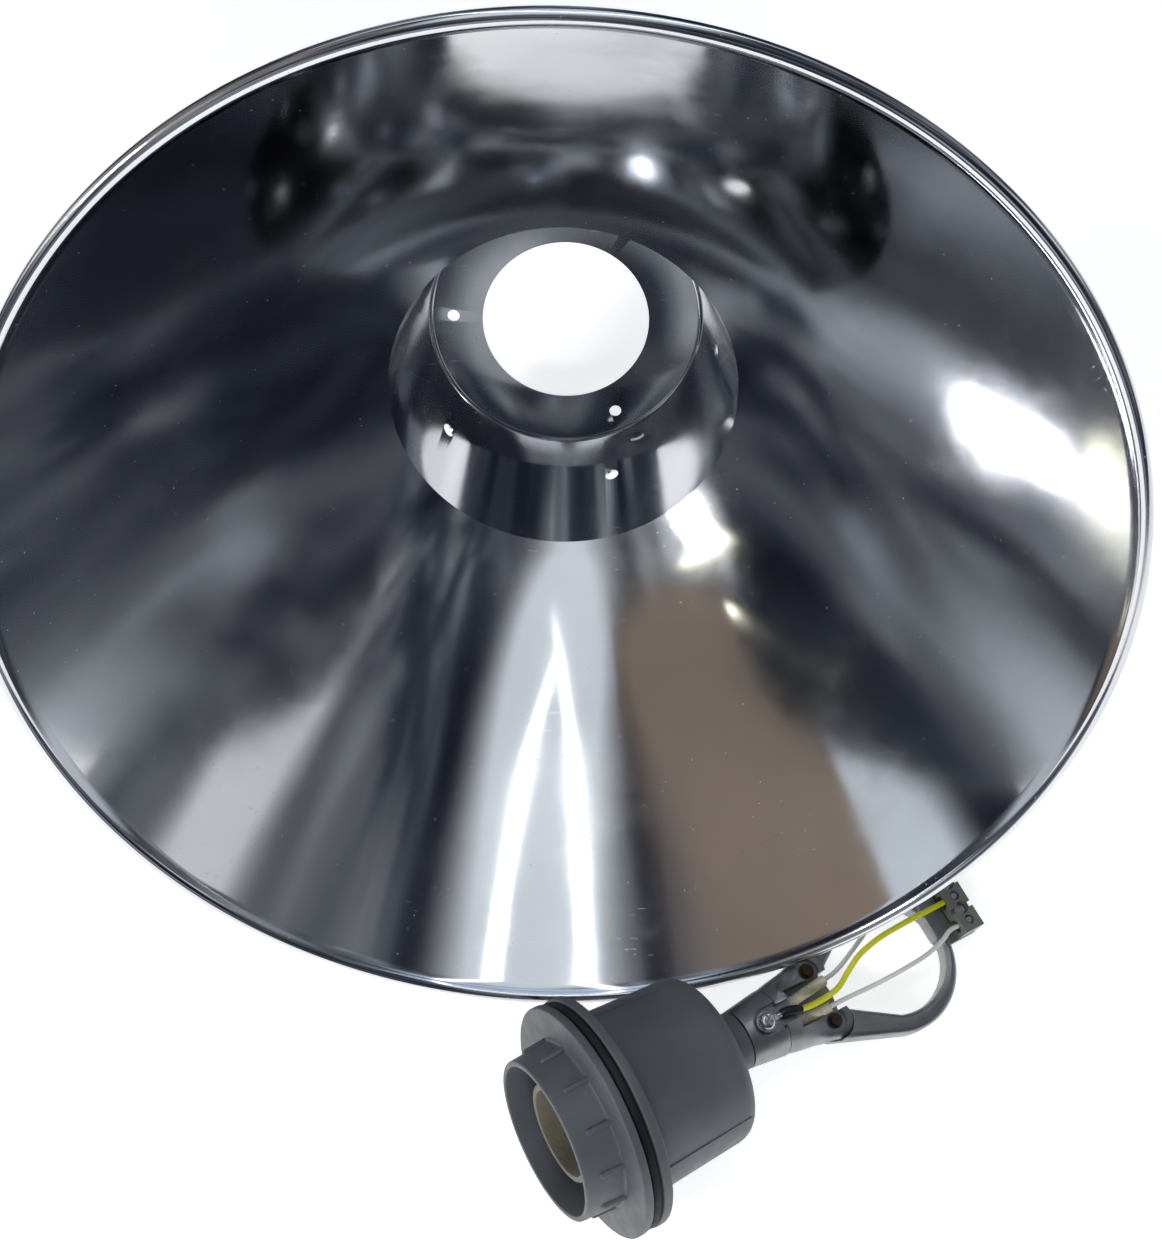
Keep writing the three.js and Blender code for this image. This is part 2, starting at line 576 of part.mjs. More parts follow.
function hookOutline() {
  // A stirrup with two roots: out along one side, round the far end, and back inside.
  const shape = new THREE.Shape();
  const { x, r } = HOOK_ARC;
  const shoulder = rad(107);
  const [ex, ey] = [HOOK_EYE.x, Math.PI * 0.61];
  shape.moveTo(HOOK_ROOT_X, -17.4);
  shape.lineTo(LUG.x + 1.5, -20.3);
  shape.absarc(x, 0, r, -shoulder, shoulder, false);
  shape.lineTo(LUG.x + 1.5, 20.3);
  shape.lineTo(HOOK_ROOT_X, 17.4);
  shape.lineTo(HOOK_ROOT_X, 9);
  shape.lineTo(140.6, 9);
  shape.absellipse(ex, 0, HOOK_EYE.along, HOOK_EYE.across, ey, -ey, true);
  shape.lineTo(140.6, -9);
  shape.lineTo(HOOK_ROOT_X, -9);
  shape.closePath();
  return shape;
}

function onHook(geometry) {
  // Bends a piece of the loop up with it, about the line between the two lugs.
  return geometry.translate(-LUG.x, 0, 0).rotateY(-rad(HOOK_RISE)).translate(LUG.x, 0, 0);
}

function buildHook() {
  let hook = solid(onHook(plate(hookOutline(), -HOOK_HALF, HOOK_HALF, 16)));
  const step = LUG.low - GAP;
  for (const side of [-1, 1]) {
    hook = hook.subtract(solid(rodZ(LUG.x, side * LUG.y, step, 20, LUG.r + GAP, 24)));
    hook = hook.subtract(solid(block([100, LUG.x], [side * 15 - 8, side * 15 + 8], [step, 20])));
    hook = hook.subtract(solid(rodZ(LUG.x, side * LUG.y, -20, 20, 1.95, 16)));
  }
  hook = hook.add(solid(onHook(block(LEDGE.x, LEDGE.y, LEDGE.z))));
  hook = hook.add(solid(onHook(block([193, 202.6], [LEDGE.y[0] + 4, LEDGE.y[1] - 6], [-2, HOOK_HALF + 1]))));
  for (const y of BLOCK_SCREW_Y) {
    hook = hook.subtract(solid(onHook(rodZ(208, y, LEDGE.z[0] - 1, 9, 1.6, 12))));
  }
  add(holder, 'hook_loop', geometryOf(hook), MATERIAL.casting);
}

// ---------------------------------------------------------------- terminal block

function buildTerminalBlock() {
  const middleX = (BLOCK.x[0] + BLOCK.x[1]) / 2;
  let body = solid(block(BLOCK.x, BLOCK.y, BLOCK.z));
  for (const y of BLOCK_SCREW_Y) {
    const saddle = block([BLOCK.x[0] - 1, BLOCK.x[1] + 1], [y - 1.1, y + 1.1], [BLOCK.z[1] - 3.2, BLOCK.z[1] + 1]);
    body = body.subtract(solid(saddle));
    body = body.subtract(solid(rodZ(208, y, BLOCK.z[0] - 1, 20, 1.65, 12)));
    body = body.subtract(solid(rodZ(208, y, BLOCK.z[0] + 4.5, 20, 2.9, 12)));
  }
  POLE_Y.forEach((y, i) => {
    body = body.subtract(solid(rodX(BLOCK.x[0] - 1, BLOCK.x[1] + 1, 3, 16).translate(0, y, POLE_Z)));
    body = body.subtract(solid(rodZ(middleX, y, POLE_Z, 20, 2.1, 12)));

    const insertX = [BLOCK.x[0] + 1, BLOCK.x[1] - 1];
    const bore = i === 1 ? EARTH_WIRE_R + GAP : LEAD_R + GAP;
    let insert = solid(rodX(insertX[0], insertX[1], 2.7, 12).translate(0, y, POLE_Z));
    insert = insert.subtract(solid(rodX(insertX[0] - 1, insertX[1] + 1, bore, 12).translate(0, y, POLE_Z)));
    insert = insert.subtract(solid(rodZ(middleX, y, POLE_Z, 20, 1.7, 12)));
    add(holder, `terminal_insert_${i + 1}`, onHook(geometryOf(insert)), MATERIAL.brass);
    const screwFoot = POLE_Z + bore + 0.1;
    const screw = solid(rodZ(middleX, y, screwFoot, BLOCK.z[1] - 0.9, 1.4, 12));
    const slot = solid(block([middleX - 0.3, middleX + 0.3], [y - 2, y + 2], [BLOCK.z[1] - 1.7, 20]));
    add(holder, `terminal_screw_${i + 1}`, onHook(geometryOf(screw.subtract(slot))), MATERIAL.steel);
  });
  add(holder, 'terminal_block', onHook(geometryOf(body)), MATERIAL.block);

  ['a', 'b'].forEach((letter, i) => {
    const y = BLOCK_SCREW_Y[i];
    const shank = solid(rodZ(208, y, LEDGE.z[0] + 0.2, BLOCK.z[0] + 5.5, 1.3, 12));
    const head = solid(rodZ(208, y, BLOCK.z[0] + 4.8, BLOCK.z[0] + 6.6, 2.5, 12));
    add(holder, `block_screw_${letter}`, onHook(geometryOf(shank.add(head))), MATERIAL.steel);
  });
}

// ---------------------------------------------------------------- leads and their sleeves

const SOCKET_END_X = CERAMIC_X[1] + 3.2;
const BLOCK_END_X = BLOCK.x[0] + 3.5;

const LEAD_A = [
  [SOCKET_END_X, 10, 0], [62.8, 10, 0], [65.8, 6.4, 0], [69.5, 3.3, 0], [78, 2.8, 0], [100, 2.8, 0], [112, 2.9, 0.6],
  [119, 3.2, 2.6], [128, 4, 4.6], [138, 4.9, 5.4], [145, 6, 5.6], [158, 11, 5.8], [172, 17, 6.4],
  [187, 21, 7.4], [BLOCK.x[0] - 5, POLE_Y[2], POLE_Z], [BLOCK_END_X, POLE_Y[2], POLE_Z],
];
const LEAD_B = [
  [SOCKET_END_X, -10, 0], [62.8, -10, 0], [65.8, -6.4, 0], [69.5, -3.3, 0], [78, -2.8, 0], [100, -2.8, 0],
  [112, -3.4, 0.6], [119, -5, 2.6], [127, -5.6, 4.4], [134, -5.7, 5.4], [142, -5.9, 6.2], [156, -6.6, 7.2], [170, -6.7, 7.9],
  [184, -5.9, 8.3], [194, -3.7, 8.3], [BLOCK.x[0] - 3.5, POLE_Y[0], POLE_Z], [BLOCK_END_X, POLE_Y[0], POLE_Z],
];

function between(points, x0, x1) {
  return points.filter(([x]) => x >= x0 && x <= x1);
}

function buildLeads() {
  add(holder, 'lead_a', tube(bent(LEAD_A), LEAD_R, 0, 36, 8), MATERIAL.white);
  add(holder, 'lead_b', tube(bent(LEAD_B), LEAD_R, 0, 36, 8), MATERIAL.white);
  add(holder, 'sleeve_a', tube(between(bent(LEAD_A), 69, 139), SLEEVE_R[1], SLEEVE_R[0], 16, 8), MATERIAL.sleeve);
  add(holder, 'sleeve_b', tube(between(bent(LEAD_B), 69, 135), SLEEVE_R[1] - 0.15, SLEEVE_R[0], 16, 8), MATERIAL.sleeve);
}

// ---------------------------------------------------------------- build and place

buildReflector();
buildLockRing();
buildGasket();
buildHousing();
buildCeramic();
buildScrewShell();
buildCentreContact();
buildSocketFasteners();
buildNeck();
buildEarthConnection();
buildYoke();
buildHook();
buildTerminalBlock();
buildLeads();

// The reflector rests on its rolled bead and on the rounded corner of its neck cup.
const beadMiddle = RIM_R - BEAD_R;
const fall = beadMiddle - (CUP_END_R - CUP_CORNER);
const run = CUP_DEPTH - CUP_CORNER;
const leanAngle = Math.atan(fall / run) - Math.asin((CUP_CORNER - BEAD_R) / Math.hypot(fall, run));
const mouthHeight = beadMiddle * Math.cos(leanAngle) + BEAD_R;
reflectorSide.rotation.set(Math.PI / 2 - leanAngle, 0, rad(REFLECTOR_YAW), 'ZYX');
reflectorSide.position.set(...REFLECTOR_AT, mouthHeight);

holder.rotation.set(0, rad(HOLDER_PITCH), rad(HOLDER_YAW), 'ZYX');
holder.position.set(...HOLDER_AT);

lamp.updateMatrixWorld(true);

export default lamp;
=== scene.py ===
"""The looks of the industrial pendant lamp: a mirror-polished reflector lying on its side, and the
lampholder in front of it. Everything is in metres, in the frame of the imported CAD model."""

import math
from functools import partial

import bmesh
import bpy
from mathutils import Matrix, Vector


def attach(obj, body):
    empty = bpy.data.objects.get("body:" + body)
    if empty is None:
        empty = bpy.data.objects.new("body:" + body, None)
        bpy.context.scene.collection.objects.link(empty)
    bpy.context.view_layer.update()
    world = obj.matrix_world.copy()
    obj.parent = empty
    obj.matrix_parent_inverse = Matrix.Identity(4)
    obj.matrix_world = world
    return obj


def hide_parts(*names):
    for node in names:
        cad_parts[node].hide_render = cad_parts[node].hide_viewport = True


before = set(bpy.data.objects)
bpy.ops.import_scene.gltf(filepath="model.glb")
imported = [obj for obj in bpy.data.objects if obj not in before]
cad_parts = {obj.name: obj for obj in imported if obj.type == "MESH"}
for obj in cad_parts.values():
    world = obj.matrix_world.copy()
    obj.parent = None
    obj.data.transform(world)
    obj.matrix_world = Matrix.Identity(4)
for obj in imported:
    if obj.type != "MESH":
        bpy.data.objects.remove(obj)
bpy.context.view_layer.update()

MM = 0.001
TAU = 2 * math.pi

# ---------------------------------------------------------------- driving dimensions, in mm

RIM_R = 205
BEAD_R = 2.75
SHEET = 1.2
CUP_EDGE_R = 76.8
CUP_EDGE_DEPTH = 165
CUP_END_R = 66
CUP_DEPTH = 241.5
CUP_CORNER = 3
HOLE_R = 39.8
PLATE_HOLE_R = 2.9
PLATE_HOLE_PITCH_R = 53.8
PLATE_HOLE_ANGLES = (57.2, 177.2, 297.2)
VENT_R = 3.3
VENT_DEPTH = 208.7
VENT_COUNT = 5
VENT_OFFSET = 1.1
REFLECTOR_AT = (0, -20.4)
REFLECTOR_YAW = -0.54

HOLDER_AT = (-5.2, -185.6, 52.6)
HOLDER_YAW = 27.8
HOLDER_PITCH = 15.31

COLLAR_R = 32.2
COLLAR_BASE_R = 33.4
COLLAR_BORE_R = 30
FLANGE_R = 46.9
FLANGE_X = (16.2, 20)
RIB_COUNT = 12
RIB_START_X = 6
RIB_R = 1.2
RIB_OFFSET = 13
GASKET_X = (20.3, 24.2)
GASKET_R = (30.2, 46.4)
REAR_FLANGE_X = (24.5, 28.5)
NOSE_R = 29.5
NOSE_BORE_R = 26.5
NOSE_X = 14
BODY_R = (36.9, 34.6)
BODY_END_X = 78
BODY_CORNER = 6
SPIGOT_R = 12.2
SPIGOT_END_X = 91.6
BORE_R = 9
CAVITY_R = 31.5
CAVITY_X = (32, 73)
RAIL_ANGLE = 58

CERAMIC_R = 20
CERAMIC_X = (6.5, 55)
CERAMIC_SKIRT_R = 17.4
CERAMIC_WELL_R = 14.9
CERAMIC_BASE_X = 50
SCREW_HOLE_R = 2.3
SCREW_HOLE_Z = 22.3
SHELL_R = 13.6
SHELL_PITCH = 3.6
SHELL_X = (24, 47)

NECK_X = (92, 108.4)
NECK_R = (12.3, 14.3)
EARTH_X = 101.3
EARTH_FLOOR_Z = 10.7
EARTH_RECESS_R = 5.7
YOKE_X = 108.7
LUG = {"x": 132.9, "y": 11.4, "r": 7.8, "low": 1.2, "seat": 4, "top": 6.4}
WINDOW = {"x": 115.8, "half": 8.4, "floor": -2.5}
HOOK_HALF = 5
HOOK_RISE = 4.7
HOOK_ARC = {"x": 168.5, "r": 31}
HOOK_EYE = {"x": 170, "along": 25.5, "across": 23.4}
HOOK_ROOT_X = 126.5
BOLT_HOLE_R = 1.95
COUNTERBORE_R = 4.9
BLOCK_X = (203, 212.6)
POLE_Y = (-1.6, 10, 21.6)
POLE_Z = 8
LEAD_R = 1
EARTH_WIRE_R = 1.25
SLEEVE_R = 2.3

# ---------------------------------------------------------------- where the two halves lie


def turn(axis, degrees):
    return Matrix.Rotation(math.radians(degrees), 4, axis)


bead_middle = RIM_R - BEAD_R
fall = bead_middle - (CUP_END_R - CUP_CORNER)
run = CUP_DEPTH - CUP_CORNER
lean = math.atan(fall / run) - math.asin((CUP_CORNER - BEAD_R) / math.hypot(fall, run))
mouth_height = bead_middle * math.cos(lean) + BEAD_R

FLOOR_HALF = 3  # metres
SCALE = Matrix.Scale(MM, 4)
REFLECTOR = (SCALE @ Matrix.Translation((*REFLECTOR_AT, mouth_height)) @ turn("Z", REFLECTOR_YAW)
             @ Matrix.Rotation(math.pi / 2 - lean, 4, "X"))
HOLDER = SCALE @ Matrix.Translation(HOLDER_AT) @ turn("Z", HOLDER_YAW) @ turn("Y", HOLDER_PITCH)
HOOK = (HOLDER @ Matrix.Translation((LUG["x"], 0, 0)) @ turn("Y", -HOOK_RISE)
        @ Matrix.Translation((-LUG["x"], 0, 0)))

# ---------------------------------------------------------------- mesh helpers


def piece(name, verts, faces, place):
    mesh = bpy.data.meshes.new(name)
    mesh.from_pydata([place @ Vector(v) for v in verts], [], faces)
    mesh.validate()
    work = bmesh.new()
    work.from_mesh(mesh)
    bmesh.ops.remove_doubles(work, verts=work.verts, dist=1e-7)
    bmesh.ops.recalc_face_normals(work, faces=work.faces)
    work.to_mesh(mesh)
    work.free()
    obj = bpy.data.objects.new(name, mesh)
    bpy.context.scene.collection.objects.link(obj)
    return obj


def soften(obj, degrees=35):
    obj.data.shade_smooth()
    obj.data.set_sharp_from_angle(angle=math.radians(degrees))
    return obj


def applied(obj):
    """Bakes an object's modifiers into its mesh."""
    graph = bpy.context.evaluated_depsgraph_get()
    mesh = bpy.data.meshes.new_from_object(obj.evaluated_get(graph))
    obj.modifiers.clear()
    obj.data = mesh
    return obj


def cut(obj, *tools):
    for tool in tools:
        change = obj.modifiers.new("cut", "BOOLEAN")
        change.operation = "DIFFERENCE"
        change.solver = "EXACT"
        change.object = tool
    applied(obj)
    for tool in tools:
        bpy.data.objects.remove(tool)
    return obj


def bevelled(obj, width, segments=2, degrees=40):
    change = obj.modifiers.new("bevel", "BEVEL")
    change.width = width * MM
    change.segments = segments
    change.limit_method = "ANGLE"
    change.angle_limit = math.radians(degrees)
    change.use_clamp_overlap = True
    return applied(obj)


def joined(name, *objs):
    """One object out of several, each keeping its own closed surface."""
    work = bmesh.new()
    for obj in objs:
        work.from_mesh(obj.data)
        bpy.data.objects.remove(obj)
    mesh = bpy.data.meshes.new(name)
    work.to_mesh(mesh)
    work.free()
    obj = bpy.data.objects.new(name, mesh)
    bpy.context.scene.collection.objects.link(obj)
    return obj


def rounded(corners, steps=4):
    """Rounds the corners of a closed outline: each corner is (a, b) or (a, b, radius)."""
    out = []
    count = len(corners)
    for i, corner in enumerate(corners):
        at = Vector(corner[:2])
        radius = corner[2] if len(corner) > 2 else 0
        if radius == 0:
            out.append(tuple(at))
            continue
        back = Vector(corners[i - 1][:2]) - at
        on = Vector(corners[(i + 1) % count][:2]) - at
        reach = min(radius, back.length * 0.49, on.length * 0.49)
        start = at + back.normalized() * reach
        end = at + on.normalized() * reach
        for k in range(steps + 1):
            t = k / steps
            point = start * (1 - t) ** 2 + at * 2 * t * (1 - t) + end * t ** 2
            out.append(tuple(point))
    return out


def spun(name, outline, place, segments=128, about="X"):
    """Turns a closed outline of (along, radius) points about X, or about Z."""
    verts = []
    for i in range(segments):
        c, s = math.cos(TAU * i / segments), math.sin(TAU * i / segments)
        for along, r in outline:
            verts.append((along, r * c, r * s) if about == "X" else (r * c, r * s, along))
    count = len(outline)
    faces = []
    for i in range(segments):
        j = (i + 1) % segments
        for k in range(count):
            m = (k + 1) % count
            if outline[k][1] == 0 and outline[m][1] == 0:
                continue
            faces.append((i * count + k, i * count + m, j * count + m, j * count + k))
    return piece(name, verts, faces, place)


def drum(name, r, low, high, place, about="Z", at=(0, 0, 0), segments=32):
    outline = [(low, 0), (low, r), (high, r), (high, 0)]
    return spun(name, outline, place @ Matrix.Translation(at), segments, about)


def sheet(name, half):
    """A flat square on the ground plane, in metres."""
    corners = [(-half, -half, 0), (half, -half, 0), (half, half, 0), (-half, half, 0)]
    return piece(name, corners, [(0, 1, 2, 3)], Matrix.Identity(4))


def brick(name, x, y, z, place):
    verts = [(a, b, c) for a in x for b in y for c in z]
    faces = [(0, 1, 3, 2), (4, 6, 7, 5), (0, 4, 5, 1), (2, 3, 7, 6), (0, 2, 6, 4), (1, 5, 7, 3)]
    return piece(name, verts, faces, place)


def slab(name, outline, low, high, place):
    """A flat outline of (x, y) points, given thickness along z."""
    count = len(outline)
    verts = [(x, y, low) for x, y in outline] + [(x, y, high) for x, y in outline]
    faces = [tuple(range(count)), tuple(range(2 * count - 1, count - 1, -1))]
    for i in range(count):
        j = (i + 1) % count
        faces.append((i, j, count + j, count + i))
    return piece(name, verts, faces, place)


def arc(cx, cy, rx, ry, start, end, steps):
    """Points round part of an ellipse, angles in radians."""
    out = []
    for i in range(steps + 1):
        angle = start + (end - start) * i / steps
        out.append((cx + rx * math.cos(angle), cy + ry * math.sin(angle)))
    return out


def smooth_path(points, per_span=8):
    """A centripetal Catmull-Rom curve through the points, as CAD makes it."""
    pts = [Vector(p) for p in points]
    pts = [pts[0] * 2 - pts[1], *pts, pts[-1] * 2 - pts[-2]]
    out = []
    for i in range(1, len(pts) - 2):
        p0, p1, p2, p3 = pts[i - 1:i + 3]
        t1 = (p1 - p0).length ** 0.5
        t2 = t1 + (p2 - p1).length ** 0.5
        t3 = t2 + (p3 - p2).length ** 0.5
        for k in range(per_span):
            t = t1 + (t2 - t1) * k / per_span
            a1 = p0 * ((t1 - t) / t1) + p1 * (t / t1)
            a2 = p1 * ((t2 - t) / (t2 - t1)) + p2 * ((t - t1) / (t2 - t1))
            a3 = p2 * ((t3 - t) / (t3 - t2)) + p3 * ((t - t2) / (t3 - t2))
            b1 = a1 * ((t2 - t) / t2) + a2 * (t / t2)
            b2 = a2 * ((t3 - t) / (t3 - t1)) + a3 * ((t - t1) / (t3 - t1))
            out.append(b1 * ((t2 - t) / (t2 - t1)) + b2 * ((t - t1) / (t2 - t1)))
    out.append(pts[-2])
    return out


def evenly(path, step):
    """The path again, with points a fixed step apart."""
    out = [path[0]]
    left = step
    for a, b in zip(path, path[1:]):
        length = (b - a).length
        gone = 0.0
        while length - gone >= left:
            gone += left
            out.append(a.lerp(b, gone / length))
            left = step
        left -= length - gone
    out.append(path[-1])
    return out


def tube(name, path, radius, place, sides=16):
    """A closed round rod along a path; radius is a number, or a function of the length so far."""
    verts = []
    faces = []
    side = Vector((0, 0, 1))
    gone = 0.0
    for i, at in enumerate(path):
        ahead = (path[min(i + 1, len(path) - 1)] - path[max(i - 1, 0)]).normalized()
        side = (side - ahead * side.dot(ahead)).normalized()
        other = ahead.cross(side)
        if i:
            gone += (at - path[i - 1]).length
        r = radius(gone) if callable(radius) else radius
        for k in range(sides):
            angle = TAU * k / sides
            verts.append(at + side * (r * math.cos(angle)) + other * (r * math.sin(angle)))
    rings = len(path)
    for i in range(rings - 1):
        for k in range(sides):
            m = (k + 1) % sides
            faces.append((i * sides + k, i * sides + m, (i + 1) * sides + m, (i + 1) * sides + k))
    faces.append(tuple(range(sides)))
    faces.append(tuple(range((rings - 1) * sides, rings * sides)))
    return piece(name, verts, faces, place)


# ---------------------------------------------------------------- materials


def material(name, color, roughness, metallic=0.0, **more):
    """A principled material; more sets its other sockets by name."""
    made = bpy.data.materials.new(name)
    made.use_nodes = True
    shader = made.node_tree.nodes["Principled BSDF"]
    shader.inputs["Base Color"].default_value = (*color, 1)
    shader.inputs["Roughness"].default_value = roughness
    shader.inputs["Metallic"].default_value = metallic
    for socket, value in more.items():
        shader.inputs[socket.replace("_", " ")].default_value = value
    return made


def noise(made, scale, detail=4.0, stretch=(1, 1, 1), roughness=0.5):
    nodes, links = made.node_tree.nodes, made.node_tree.links
    where = nodes.new("ShaderNodeTexCoord")
    size = nodes.new("ShaderNodeMapping")
    size.inputs["Scale"].default_value = stretch
    grain = nodes.new("ShaderNodeTexNoise")
    grain.inputs["Scale"].default_value = scale
    grain.inputs["Detail"].default_value = detail
    grain.inputs["Roughness"].default_value = roughness
    links.new(where.outputs["Object"], size.inputs["Vector"])
    links.new(size.outputs["Vector"], grain.inputs["Vector"])
    return grain.outputs["Fac"]


def ramp(made, source, stops):
    """Maps a 0 to 1 value to colours, or to grey levels when the stops hold numbers. It serves a
    material or the world."""
    node = made.node_tree.nodes.new("ShaderNodeValToRGB")
    bar = node.color_ramp
    while len(bar.elements) < len(stops):
        bar.elements.new(0.5)
    for element, (position, value) in zip(bar.elements, stops):
        element.position = position
        element.color = (value, value, value, 1) if isinstance(value, (int, float)) else (*value, 1)
    made.node_tree.links.new(source, node.inputs["Fac"])
    return node.outputs["Color"]


def feed(made, source, socket):
    shader = made.node_tree.nodes["Principled BSDF"]
    made.node_tree.links.new(source, shader.inputs[socket])


def bump(made, source, strength, distance):
    node = made.node_tree.nodes.new("ShaderNodeBump")
    node.inputs["Strength"].default_value = strength
    node.inputs["Distance"].default_value = distance * MM
    made.node_tree.links.new(source, node.inputs["Height"])
    previous = made.node_tree.nodes["Principled BSDF"].inputs["Normal"]
    if previous.is_linked:
        made.node_tree.links.new(previous.links[0].from_socket, node.inputs["Normal"])
    feed(made, node.outputs["Normal"], "Normal")


def speckled(name, dark, light, roughness, grain_scale, grain_depth, metallic=0.0, **more):
    """A material with soft patches of colour, a fine grain and a varied gloss."""
    made = material(name, light, roughness[0], metallic, **more)
    patches = noise(made, 45, 5)
    feed(made, ramp(made, patches, [(0.3, dark), (0.7, light)]), "Base Color")
    feed(made, ramp(made, noise(made, 160, 3), [(0.3, roughness[0]), (0.7, roughness[1])]), "Roughness")
    bump(made, noise(made, grain_scale, 3), 0.6, grain_depth)
    return made


def mirror_metal():
    """Polished aluminium: haze in patches, fine marks from spinning, scratches and a few specks."""
    made = material("polished_aluminium", (0.70, 0.71, 0.73), 0.1, 1.0)
    nodes, links = made.node_tree.nodes, made.node_tree.links
    haze = noise(made, 14, 6, roughness=0.6)
    base = ramp(made, haze, [(0.35, 0.06), (0.55, 0.10), (0.75, 0.18)])
    specks = nodes.new("ShaderNodeTexVoronoi")
    specks.inputs["Scale"].default_value = 55
    spot = ramp(made, specks.outputs["Distance"], [(0.025, 0.5), (0.05, 0.0)])
    scratch = ramp(made, noise(made, 60, 3, (1, 14, 9)), [(0.70, 0.0), (0.74, 0.16), (0.78, 0.0)])
    marks = nodes.new("ShaderNodeMath")
    links.new(spot, marks.inputs[0])
    links.new(scratch, marks.inputs[1])
    total = nodes.new("ShaderNodeMath")
    links.new(base, total.inputs[0])
    links.new(marks.outputs[0], total.inputs[1])
    feed(made, total.outputs[0], "Roughness")
    tint = ramp(made, noise(made, 9, 4), [(0.3, (0.60, 0.61, 0.635)), (0.7, (0.76, 0.77, 0.79))])
    feed(made, tint, "Base Color")
    bump(made, noise(made, 16, 2), 0.25, 0.5)
    return made


MIRROR = mirror_metal()
PLASTIC = speckled("grey_plastic", (0.105, 0.113, 0.127), (0.128, 0.137, 0.152), (0.42, 0.58), 1800, 0.05)
RUBBER = speckled("black_rubber", (0.006, 0.006, 0.007), (0.014, 0.014, 0.015), (0.55, 0.75), 900, 0.05)
CERAMIC = speckled("ceramic", (0.17, 0.155, 0.12), (0.27, 0.25, 0.20), (0.5, 0.7), 700, 0.35)
CASTING = speckled("cast_metal", (0.24, 0.25, 0.26), (0.36, 0.37, 0.38), (0.30, 0.46), 1500, 0.07, 0.85)
ZINC = speckled("zinc_steel", (0.52, 0.53, 0.54), (0.68, 0.69, 0.70), (0.2, 0.35), 1500, 0.02, 1.0)
DARK_BOLT = speckled("bronzed_steel", (0.05, 0.035, 0.025), (0.13, 0.095, 0.07), (0.3, 0.5), 1500, 0.03, 1.0)
BRASS = speckled("brass", (0.45, 0.32, 0.13), (0.62, 0.47, 0.22), (0.25, 0.4), 1500, 0.02, 1.0)
BLOCK = speckled("terminal_plastic", (0.19, 0.205, 0.175), (0.27, 0.29, 0.245), (0.28, 0.4), 900, 0.03,
                 Transmission_Weight=0.25, IOR=1.46)
YELLOW = speckled("yellow_wire", (0.72, 0.74, 0.02), (0.86, 0.88, 0.04), (0.3, 0.4), 900, 0.02)
WHITE = speckled("white_wire", (0.74, 0.75, 0.77), (0.86, 0.87, 0.88), (0.3, 0.45), 900, 0.02)
SHRINK = speckled("heat_shrink", (0.006, 0.006, 0.007), (0.012, 0.012, 0.013), (0.35, 0.5), 900, 0.03)
BRAID = speckled("glass_braid", (0.62, 0.57, 0.42), (0.84, 0.79, 0.62), (0.75, 0.95), 1600, 0.1)




def finished(obj, body, slot_name, look, *nodes, degrees=35):
    obj.data.materials.clear()
    obj.data.materials.append(look)
    soften(obj, degrees)
    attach(obj, body)
    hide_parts(*nodes)
    return obj


# ---------------------------------------------------------------- reflector


def bowl_radius(depth):
    mouth = RIM_R - 2 * BEAD_R
    drop = (1 - (CUP_EDGE_R / mouth) ** 2) / CUP_EDGE_DEPTH
    return mouth * math.sqrt(1 - drop * depth)


def reflector_outline():
    steps = 56
    flank = []
    for i in range(steps + 1):
        depth = CUP_EDGE_DEPTH * i / steps
        flank.append((-depth, bowl_radius(depth)))
    wall = CUP_END_R - SHEET
    inside_corner = rounded([
        flank[-1], (-(CUP_DEPTH - SHEET), wall, CUP_CORNER - SHEET), (-(CUP_DEPTH - SHEET), HOLE_R),
    ])[1:-1]
    outside_corner = rounded([
        (-CUP_DEPTH, HOLE_R), (-CUP_DEPTH, CUP_END_R, CUP_CORNER),
        (-CUP_EDGE_DEPTH - SHEET, CUP_EDGE_R + 0.4),
    ])[1:-1]
    outer_flank = [(a - SHEET * 0.55, r + SHEET * 0.85) for a, r in reversed(flank[4:-1])]
    bead = []
    for i in range(25):
        angle = math.radians(-115 + i * 270 / 24)
        bead.append((BEAD_R * math.sin(angle), RIM_R - BEAD_R + BEAD_R * math.cos(angle)))
    return [
        *flank, *inside_corner, (-(CUP_DEPTH - SHEET), HOLE_R), (-CUP_DEPTH, HOLE_R), *outside_corner,
        (-CUP_EDGE_DEPTH - SHEET, CUP_EDGE_R + 0.4), *outer_flank, *bead,
    ]


def build_reflector():
    shell = spun("reflector_shell", reflector_outline(), REFLECTOR, 256, "Z")
    tools = []
    for angle in PLATE_HOLE_ANGLES:
        x = PLATE_HOLE_PITCH_R * math.cos(math.radians(angle))
        y = PLATE_HOLE_PITCH_R * math.sin(math.radians(angle))
        tools.append(drum("hole", PLATE_HOLE_R, -5, 5, REFLECTOR, "Z", (x, y, -CUP_DEPTH)))
    for i in range(VENT_COUNT):
        angle = VENT_OFFSET + 360 / VENT_COUNT * i
        place = REFLECTOR @ turn("Z", angle) @ Matrix.Translation((0, 0, -VENT_DEPTH))
        tools.append(drum("vent", VENT_R, 55, 85, place, "X"))
    cut(shell, *tools)
    finished(shell, "reflector_body", "mirror", MIRROR, "reflector", degrees=24)


# ---------------------------------------------------------------- collar, gasket and housing


